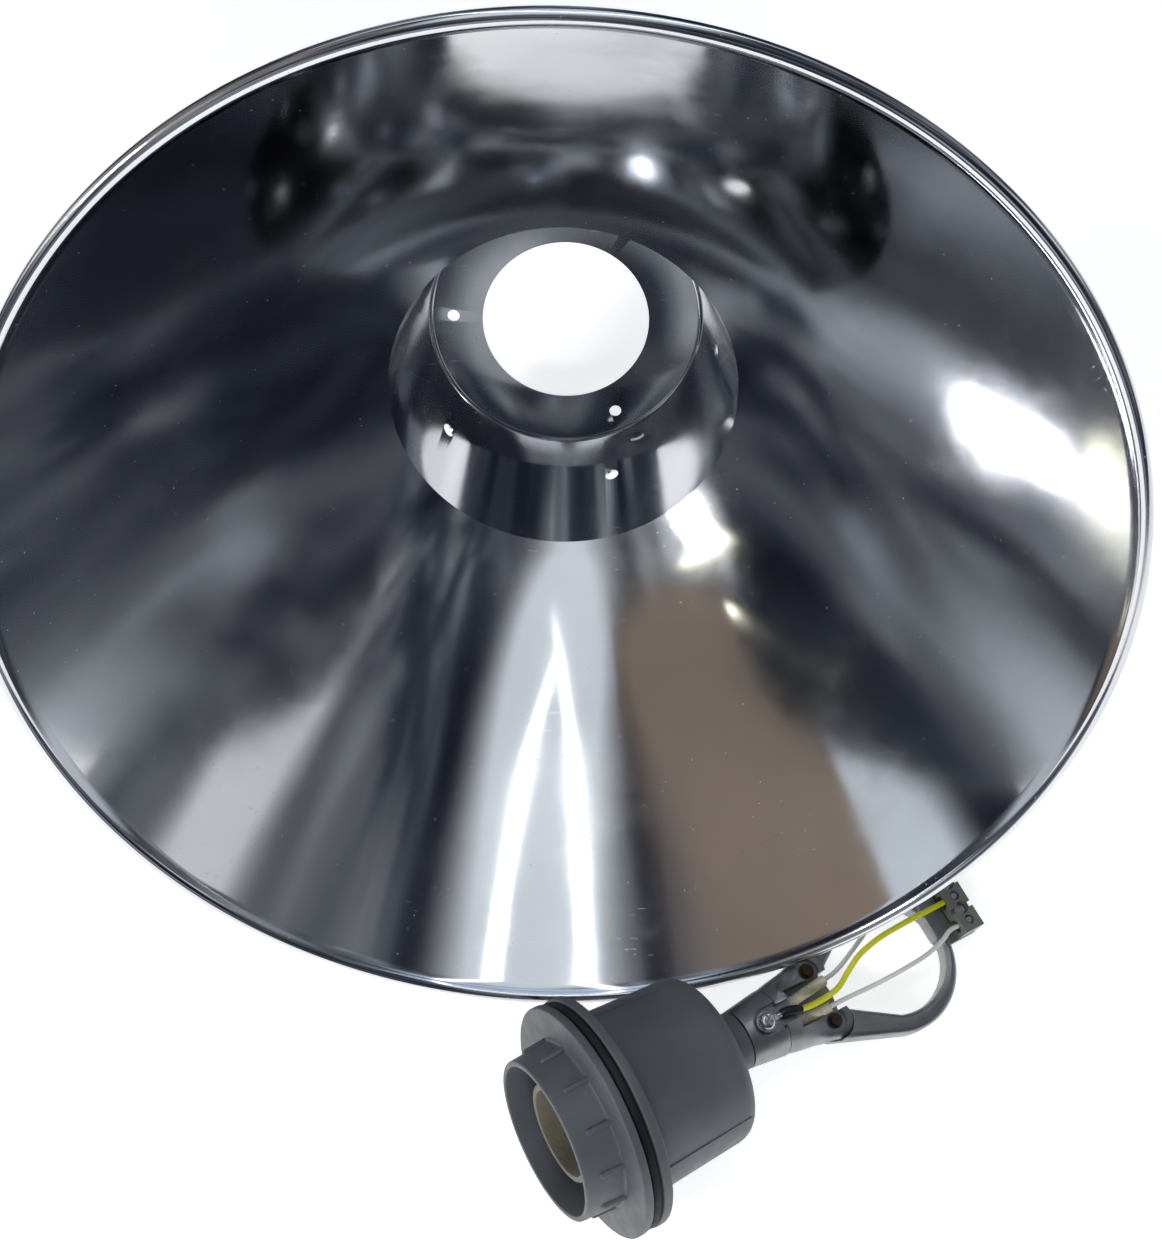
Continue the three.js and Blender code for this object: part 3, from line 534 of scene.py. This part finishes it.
def build_lock_ring():
    f0, f1 = FLANGE_X
    outline = rounded([
        (0, COLLAR_BORE_R, 0.6), (0, COLLAR_R, 0.9), (f0, COLLAR_BASE_R, 1.2), (f0, FLANGE_R, 0.9),
        (f1, FLANGE_R, 0.9), (f1, COLLAR_BORE_R, 0.4),
    ])
    parts = [spun("collar", outline, HOLDER, 160)]
    lean_in = math.degrees(math.atan((COLLAR_BASE_R - COLLAR_R) / f0))
    length = f0 + 0.8 - RIB_START_X
    for i in range(RIB_COUNT):
        place = (HOLDER @ turn("X", RIB_OFFSET + 360 / RIB_COUNT * i)
                 @ Matrix.Translation((RIB_START_X, 0, COLLAR_BASE_R - 0.65)) @ turn("Y", -lean_in))
        nose = [(RIB_R - RIB_R * math.cos(a), RIB_R * math.sin(a)) for a in (0, 0.4, 0.8, 1.2, math.pi / 2)]
        parts.append(spun("rib", [*nose, (length, RIB_R), (length, 0)], place, 20))
    ring = joined("collar_and_flange", *parts)
    finished(ring, "lock_ring_body", "plastic", PLASTIC, "lock_ring")


def build_gasket():
    x0, x1 = GASKET_X
    inner, outer = GASKET_R
    outline = rounded([(x0, inner), (x0, outer, 1.6), (x1, outer, 1.6), (x1, inner)])
    finished(spun("gasket_ring", outline, HOLDER, 160), "gasket_body", "rubber", RUBBER, "gasket")


def build_housing():
    f0, f1 = REAR_FLANGE_X
    c0, c1 = CAVITY_X
    outline = rounded([
        (NOSE_X, NOSE_BORE_R), (NOSE_X, NOSE_R, 0.6), (f0, NOSE_R), (f0, FLANGE_R, 0.9), (f1, FLANGE_R, 0.9),
        (f1, BODY_R[0], 0.8), (BODY_END_X, BODY_R[1], BODY_CORNER * 1.2), (BODY_END_X, SPIGOT_R, 1.6),
        (SPIGOT_END_X, SPIGOT_R, 0.5), (SPIGOT_END_X, BORE_R), (c1, BORE_R), (c1, CAVITY_R), (c0, CAVITY_R),
        (c0, NOSE_BORE_R),
    ], 6)
    parts = [spun("shell", outline, HOLDER, 160)]
    taper = math.degrees(math.atan((BODY_R[0] - BODY_R[1]) / (BODY_END_X - BODY_CORNER - f1)))
    for angle in (-RAIL_ANGLE, RAIL_ANGLE, 180 - RAIL_ANGLE, 180 + RAIL_ANGLE):
        place = HOLDER @ turn("X", angle) @ Matrix.Translation((f1, 0, BODY_R[0])) @ turn("Y", taper)
        rail = brick("rail", (1.5, BODY_END_X - f1 - 5), (-0.6, 0.6), (-2, 0.6), place)
        parts.append(bevelled(rail, 0.35, 3))
    housing = joined("housing_shell", *parts)
    finished(housing, "holder_body", "plastic", PLASTIC, "housing")


# ---------------------------------------------------------------- socket


def build_socket():
    x0, x1 = CERAMIC_X
    outline = rounded([
        (x0, CERAMIC_SKIRT_R, 0.5), (x0, CERAMIC_R, 1), (34, CERAMIC_R, 1), (CERAMIC_BASE_X - 1, 18),
        (CERAMIC_BASE_X, 18), (CERAMIC_BASE_X, 26, 0.6), (x1, 26, 0.6), (x1, 3), (CERAMIC_BASE_X, 3),
        (CERAMIC_BASE_X, CERAMIC_WELL_R), (SHELL_X[0] - 1, CERAMIC_WELL_R),
        (SHELL_X[0] - 3, CERAMIC_SKIRT_R - 0.8),
        (x0 + 2, CERAMIC_SKIRT_R),
    ])
    socket = spun("ceramic_body", outline, HOLDER, 96)
    tools = []
    for z in (-SCREW_HOLE_Z, SCREW_HOLE_Z):
        tools.append(drum("hole", SCREW_HOLE_R, CERAMIC_BASE_X - 1, x1 + 1, HOLDER, "X", (0, 0, z)))
    cut(socket, *tools)
    finished(socket, "holder_body", "ceramic", CERAMIC, "ceramic_socket")

    wave = []
    for i in range(65):
        x = SHELL_X[0] + (SHELL_X[1] - SHELL_X[0]) * i / 64
        wave.append((x, SHELL_R + 0.45 * math.sin(TAU * x / SHELL_PITCH)))
    outline = [(x, r + 0.4) for x, r in wave] + wave[::-1]
    thread = spun("screw_thread", outline, HOLDER, 72)
    finished(thread, "holder_body", "brass", BRASS, "screw_shell", degrees=60)


# ---------------------------------------------------------------- neck, yoke and hook


def build_neck():
    outline = rounded([
        (NECK_X[0], BORE_R), (NECK_X[0], NECK_R[0], 0.5), (NECK_X[1], NECK_R[1], 0.5), (NECK_X[1], BORE_R),
    ])
    neck = spun("neck_casting", outline, HOLDER, 96)
    cut(
        neck,
        drum("recess", EARTH_RECESS_R, EARTH_FLOOR_Z, 20, HOLDER, "Z", (EARTH_X, 0, 0), 48),
        brick("mouth", (EARTH_X, NECK_X[1] + 1), (-EARTH_RECESS_R, EARTH_RECESS_R), (EARTH_FLOOR_Z, 20),
              HOLDER),
        drum("thread", 2.25, 5, 20, HOLDER, "Z", (EARTH_X, 0, 0)),
    )
    finished(neck, "holder_body", "casting", CASTING, "neck_tube")

    head_z = 13.1
    outline = rounded([
        (9.4, 0), (9.4, 1.9), (head_z, 1.9), (head_z, 3.5, 0.3), (head_z + 1.2, 3.5, 0.7),
        (head_z + 2.3, 2.4, 0.9), (head_z + 2.4, 0),
    ])
    screw = spun("earth_screw_head", outline, HOLDER @ Matrix.Translation((EARTH_X, 0, 0)), 48, "Z")
    across = brick("across", (EARTH_X - 2, EARTH_X + 2), (-0.42, 0.42), (head_z + 1, head_z + 3), HOLDER)
    along = brick("along", (EARTH_X - 0.42, EARTH_X + 0.42), (-2, 2), (head_z + 1, head_z + 3), HOLDER)
    cut(screw, across, along)
    finished(screw, "holder_body", "steel", ZINC, "earth_screw")


def yoke_ring(x, half, top, bottom, power, count=96):
    ring = []
    for i in range(count):
        c, s = math.cos(TAU * i / count), math.sin(TAU * i / count)
        y = half * math.copysign(abs(c) ** (2 / power), c)
        z = math.copysign(abs(s) ** (2 / power), s)
        ring.append((x, y, (top + bottom) / 2 + z * (top - bottom) / 2))
    return ring


def build_yoke():
    sections = [
        (YOKE_X, 14, 14, -14, 2), (YOKE_X + 3, 14.6, 13.6, -13.6, 2.1), (YOKE_X + 8, 15.4, 11.2, -12.4, 2.5),
        (YOKE_X + 14, 16.2, 8.2, -9.6, 3), (YOKE_X + 19, 17.7, 6.6, -7.4, 3),
        (YOKE_X + 24, 19, LUG["top"], -6.6, 3), (YOKE_X + 32.8, 19.2, LUG["top"], -6.4, 3.4),
    ]
    rings = [yoke_ring(*section) for section in sections]
    count = len(rings[0])
    faces = [tuple(range(count)), tuple(range((len(rings) - 1) * count, len(rings) * count))]
    for s in range(len(rings) - 1):
        for i in range(count):
            j = (i + 1) % count
            faces.append((s * count + i, s * count + j, (s + 1) * count + j, (s + 1) * count + i))
    yoke = piece("yoke_casting", [v for ring in rings for v in ring], faces, HOLDER)
    x0, y0, r = LUG["x"], LUG["y"], LUG["r"]
    end = YOKE_X + 40
    tip = 0.35
    beyond = [
        *arc(x0, -y0, r, r, -math.pi / 2, tip, 16),
        (x0 + r * math.cos(tip) + 1.6, 0),
        *arc(x0, y0, r, r, -tip, math.pi / 2, 16), (x0, 40), (end, 40), (end, -40), (x0, -40),
    ]
    tools = [
        slab("beyond", beyond, -20, 20, HOLDER),
        drum("bore", BORE_R, YOKE_X - 1, WINDOW["x"] + 6, HOLDER, "X", segments=64),
        brick("window", (WINDOW["x"], end), (-WINDOW["half"], WINDOW["half"]), (WINDOW["floor"], 20), HOLDER),
        brick("recess", (YOKE_X - 1, WINDOW["x"] + 1), (-4.4, 4.4), (EARTH_FLOOR_Z - 0.7, 20), HOLDER),
    ]
    for side in (-1, 1):
        middle = side * 14.9
        across = (middle - 6.2, middle + 6.2)
        tools.append(brick("under", (HOOK_ROOT_X - 0.9, end), across, (-20, LUG["low"]), HOLDER))
        tools.append(drum("counterbore", COUNTERBORE_R, LUG["seat"], 20, HOLDER, "Z", (x0, side * y0, 0), 48))
        tools.append(drum("bolt_hole", BOLT_HOLE_R, 0, 20, HOLDER, "Z", (x0, side * y0, 0)))
    cut(yoke, *tools)
    finished(yoke, "holder_body", "casting", CASTING, "yoke", degrees=30)


def build_hook():
    cx, r = HOOK_ARC["x"], HOOK_ARC["r"]
    shoulder = math.radians(107)
    sweep = math.pi * 0.61
    lug_x = LUG["x"]
    outline = [
        (HOOK_ROOT_X, -17.4), (lug_x + 1.5, -20.3), *arc(cx, 0, r, r, -shoulder, shoulder, 72),
        (lug_x + 1.5, 20.3), (HOOK_ROOT_X, 17.4), (HOOK_ROOT_X, 9), (140.6, 9),
        *arc(HOOK_EYE["x"], 0, HOOK_EYE["along"], HOOK_EYE["across"], sweep, -sweep, 72),
        (140.6, -9), (HOOK_ROOT_X, -9),
    ]
    hook = slab("hook_casting", outline, -HOOK_HALF, HOOK_HALF, HOOK)
    bevelled(hook, 2.1, 5, 50)
    step = LUG["low"] - 0.3
    tools = []
    for side in (-1, 1):
        middle = side * 15
        tools.append(drum("lug", LUG["r"] + 0.3, step, 20, HOLDER, "Z", (lug_x, side * LUG["y"], 0), 48))
        tools.append(brick("lug_end", (100, lug_x), (middle - 8, middle + 8), (step, 20), HOLDER))
        tools.append(drum("bolt_hole", BOLT_HOLE_R, -20, 20, HOLDER, "Z", (lug_x, side * LUG["y"], 0)))
    cut(hook, *tools)
    ledge = bevelled(brick("ledge", (197, 213), (-6.5, 26.6), (-1.4, 2.5), HOOK), 0.5, 3)
    root = bevelled(brick("root", (193, 202.6), (-2.5, 20.6), (-2, HOOK_HALF + 1), HOOK), 0.8, 3)
    whole = joined("hook_and_ledge", hook, ledge, root)
    finished(whole, "holder_body", "casting", CASTING, "hook_loop", degrees=30)


# ---------------------------------------------------------------- wires

TERMINAL_END_X = BLOCK_X[0] + 3.5
SOCKET_END_X = CERAMIC_X[1] + 3.2
LINE_Z = EARTH_FLOOR_Z + 1.6

LEAD_A = [
    (SOCKET_END_X, 10, 0), (62.8, 10, 0), (65.8, 6.4, 0), (69.5, 3.3, 0), (78, 2.8, 0), (100, 2.8, 0),
    (112, 2.9, 0.6), (119, 3.2, 2.6), (128, 4, 4.6), (138, 4.9, 5.4), (145, 6, 5.6), (158, 11, 5.8),
    (172, 17, 6.4), (187, 21, 7.4), (BLOCK_X[0] - 5, POLE_Y[2], POLE_Z), (TERMINAL_END_X, POLE_Y[2], POLE_Z),
]
LEAD_B = [
    (SOCKET_END_X, -10, 0), (62.8, -10, 0), (65.8, -6.4, 0), (69.5, -3.3, 0), (78, -2.8, 0), (100, -2.8, 0),
    (112, -3.4, 0.6), (119, -5, 2.6), (127, -5.6, 4.4), (134, -5.7, 5.4), (142, -5.9, 6.2), (156, -6.6, 7.2),
    (170, -6.7, 7.9), (184, -5.9, 8.3), (194, -3.7, 8.3), (BLOCK_X[0] - 3.5, POLE_Y[0], POLE_Z),
    (TERMINAL_END_X, POLE_Y[0], POLE_Z),
]
EARTH = [
    (EARTH_X + 10, 0, LINE_Z), (EARTH_X + 13.5, -0.8, LINE_Z + 0.1), (EARTH_X + 17, -1.8, LINE_Z - 0.3),
    (EARTH_X + 26, -2.3, 10.6), (EARTH_X + 38, -1, 10.2), (EARTH_X + 46, 2.9, 10), (EARTH_X + 54, 6.6, 9.8),
    (EARTH_X + 66, 9.1, 9.4), (EARTH_X + 80, 9.9, 8.7), (BLOCK_X[0] - 6, POLE_Y[1], POLE_Z),
    (TERMINAL_END_X, POLE_Y[1], POLE_Z),
]


def bent(points):
    """Moves the points past the lugs up with the loop."""
    rise = math.radians(HOOK_RISE)
    out = []
    for x, y, z in points:
        along = x - LUG["x"]
        if along > 0:
            x = LUG["x"] + along * math.cos(rise) - z * math.sin(rise)
            z = along * math.sin(rise) + z * math.cos(rise)
        out.append((x, y, z))
    return out


def between(points, low, high):
    return [p for p in points if low <= p[0] <= high]


def ringed(length, radius):
    """The radius of a sleeve with raised rings every 1.25 mm, at some length along it."""
    return radius - 0.26 + 0.3 * abs(math.sin(math.pi * length / 1.25)) ** 0.6


def shrunk(length, whole):
    """The radius of a shrunk sleeve, drawn in at both ends and slightly wavy."""
    return 2 - 0.35 * math.exp(-length) - 0.35 * math.exp(-(whole - length)) + 0.05 * math.sin(2.1 * length)


def build_wires():
    for letter, points, last, radius in (("a", LEAD_A, 139, SLEEVE_R), ("b", LEAD_B, 135, SLEEVE_R - 0.15)):
        path = smooth_path(bent(points))
        wire = tube(f"wire_{letter}", path, LEAD_R, HOLDER)
        finished(wire, "holder_body", "white", WHITE, f"lead_{letter}", degrees=50)
        path = evenly(smooth_path(between(bent(points), 69, last)), 0.16)
        sleeve = tube(f"braid_{letter}", path, partial(ringed, radius=radius), HOLDER, 24)
        finished(sleeve, "holder_body", "sleeve", BRAID, f"sleeve_{letter}", degrees=60)
    wire = tube("wire_earth", smooth_path(bent(EARTH)), EARTH_WIRE_R, HOLDER)
    finished(wire, "holder_body", "yellow", YELLOW, "earth_wire", degrees=50)
    path = evenly(smooth_path([(EARTH_X + 7.6, 0, LINE_Z), *EARTH[:3]]), 0.4)
    length = 0.4 * (len(path) - 1)
    sleeve = tube("shrunk_sleeve", path, partial(shrunk, whole=length), HOLDER, 24)
    finished(sleeve, "holder_body", "shrink", SHRINK, "heat_shrink", degrees=50)


# ---------------------------------------------------------------- CAD nodes kept as they are

KEPT = {
    ZINC: ["earth_washer", "ring_terminal", "nipple", "nipple_nut", "socket_screw_a", "socket_screw_b",
           "socket_terminal_screw_a", "socket_terminal_screw_b", "terminal_screw_1", "terminal_screw_2",
           "terminal_screw_3", "block_screw_a", "block_screw_b"],
    BRASS: ["contact_base", "centre_contact", "socket_terminal_a", "socket_terminal_b", "terminal_insert_1",
            "terminal_insert_2", "terminal_insert_3"],
    DARK_BOLT: ["yoke_bolt_a", "yoke_bolt_b"],
    BLOCK: ["terminal_block"],
}


def finish_kept_nodes():
    for look, names in KEPT.items():
        for name in names:
            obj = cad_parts[name]
            obj.data.materials.clear()
            obj.data.materials.append(look)


# ---------------------------------------------------------------- floor, lights and camera


def card(name, at, aim, size, power, color=(1, 1, 1), mirrored=True):
    """A rectangular light at one point, facing another; mirrored says if polished metal shows it."""
    light = bpy.data.lights.new(name, "AREA")
    light.shape = "RECTANGLE"
    light.size, light.size_y = size
    light.energy = power
    light.color = color
    obj = bpy.data.objects.new(name, light)
    obj.location = at
    obj.rotation_euler = (Vector(aim) - Vector(at)).to_track_quat("-Z", "Y").to_euler()
    obj.visible_glossy = mirrored
    bpy.context.scene.collection.objects.link(obj)


def glow(name, at, aim, size, strength, color):
    """A bright panel that fades towards its edges, seen by the polished metal."""
    facing = (Vector(aim) - Vector(at)).to_track_quat("-Z", "Y").to_matrix().to_4x4()
    place = Matrix.Translation(at) @ facing
    panel = sheet(name, 1)
    panel.matrix_world = place @ Matrix.Diagonal((size[0] / 2, size[1] / 2, 1, 1))
    look = bpy.data.materials.new(name)
    look.use_nodes = True
    nodes, links = look.node_tree.nodes, look.node_tree.links
    nodes.remove(nodes["Principled BSDF"])
    where = nodes.new("ShaderNodeTexCoord")
    fade = nodes.new("ShaderNodeTexGradient")
    fade.gradient_type = "SPHERICAL"
    edge = nodes.new("ShaderNodeValToRGB")
    edge.color_ramp.elements[0].position = 0.02
    edge.color_ramp.elements[1].position = 0.45
    light = nodes.new("ShaderNodeEmission")
    light.inputs["Color"].default_value = (*color, 1)
    gain = nodes.new("ShaderNodeMath")
    gain.operation = "MULTIPLY"
    gain.inputs[1].default_value = strength
    clear = nodes.new("ShaderNodeBsdfTransparent")
    mix = nodes.new("ShaderNodeMixShader")
    links.new(where.outputs["Object"], fade.inputs["Vector"])
    links.new(fade.outputs["Fac"], edge.inputs["Fac"])
    links.new(edge.outputs["Color"], gain.inputs[0])
    links.new(gain.outputs[0], light.inputs["Strength"])
    links.new(edge.outputs["Color"], mix.inputs["Fac"])
    links.new(clear.outputs["BSDF"], mix.inputs[1])
    links.new(light.outputs["Emission"], mix.inputs[2])
    links.new(mix.outputs["Shader"], nodes["Material Output"].inputs["Surface"])
    panel.data.materials.append(look)


def build_stage():
    floor = sheet("floor", FLOOR_HALF)
    pale = material("pale_floor", (0.93, 0.93, 0.93), 0.9)
    shader = pale.node_tree.nodes["Principled BSDF"]
    shader.inputs["Emission Color"].default_value = (1, 1, 1, 1)
    shader.inputs["Emission Strength"].default_value = 0.62
    floor.data.materials.append(pale)

    build_room()
    card("overhead", (0.1, 0.2, 2.4), (0, 0, 0), (0.5, 0.9), 30, (0.93, 0.96, 1.0))
    card("front", (0.3, -2.0, 1.5), (0, -0.1, 0.1), (1.2, 0.3), 18, mirrored=False)
    card("side", (-2.0, -0.9, 1.6), (0, -0.1, 0.1), (0.4, 0.4), 16)
    glow("ceiling", (0.05, 0.1, 2.2), (0, 0, 0), (1.7, 2.9), 0.9, (0.90, 0.95, 1.0))
    glow("strip_left", (-0.22, 0.5, 2.0), (0, 0, 0), (0.14, 2.2), 3.5, (0.92, 0.96, 1.0))
    glow("strip_right", (0.42, 0.5, 2.0), (0, 0, 0), (0.14, 2.2), 3.5, (0.92, 0.96, 1.0))
    glow("sky_band", (0, 1.1, 2.05), (0, 0, 0), (4.2, 0.6), 1.0, (0.60, 0.75, 1.0))
    glow("window_left", (-2.0, 0.1, 1.0), (0, 0, 0.1), (1.7, 1.5), 0.75, (0.86, 0.93, 1.0))
    glow("window_right", (2.0, -0.1, 1.0), (0, 0, 0.1), (0.9, 1.0), 0.8, (0.95, 0.97, 1.0))
    glow("lamp_near", (-1.7, -0.5, 1.3), (0, 0, 0.1), (0.07, 1.3), 7, (1.0, 0.97, 0.75))
    glow("lamp_far", (-1.8, -0.2, 1.1), (0, 0, 0.1), (0.07, 1.3), 5, (1.0, 0.97, 0.75))
    glow("warm_wall", (-1.35, 0.1, 1.6), (0, 0, 0), (1.2, 2.8), 0.42, (0.60, 0.47, 0.38))


def build_room():
    """A dim room with soft lighter patches, for the polished metal to show."""
    world = bpy.data.worlds.new("room")
    world.use_nodes = True
    nodes, links = world.node_tree.nodes, world.node_tree.links
    where = nodes.new("ShaderNodeTexCoord")
    size = nodes.new("ShaderNodeMapping")
    size.inputs["Scale"].default_value = (1.5, 0.8, 1.1)
    size.inputs["Location"].default_value = (0.3, 0.1, 0.6)
    patches = nodes.new("ShaderNodeTexNoise")
    patches.inputs["Scale"].default_value = 2.2
    patches.inputs["Detail"].default_value = 3.5
    patches.inputs["Distortion"].default_value = 0.6
    stops = [(0.36, (0.012, 0.015, 0.024)), (0.47, (0.04, 0.047, 0.065)), (0.56, (0.16, 0.17, 0.19)),
             (0.70, (0.50, 0.53, 0.57))]
    links.new(where.outputs["Generated"], size.inputs["Vector"])
    links.new(size.outputs["Vector"], patches.inputs["Vector"])
    links.new(ramp(world, patches.outputs["Fac"], stops), nodes["Background"].inputs["Color"])
    bpy.context.scene.world = world


def build_camera():
    camera = bpy.data.cameras.new("camera")
    camera.sensor_width = 36
    camera.sensor_fit = "AUTO"
    camera.lens = 44.1
    camera.clip_start = 0.01
    obj = bpy.data.objects.new("camera", camera)
    obj.location = (0.0092, -0.2366, 0.66593)
    obj.rotation_euler = (math.radians(23.7), 0, 0)
    bpy.context.scene.collection.objects.link(obj)
    bpy.context.scene.camera = obj
    bpy.context.scene.view_settings.view_transform = "Standard"


build_camera()
build_stage()
build_reflector()
build_lock_ring()
build_gasket()
build_housing()
build_socket()
build_neck()
build_yoke()
build_hook()
build_wires()
finish_kept_nodes()
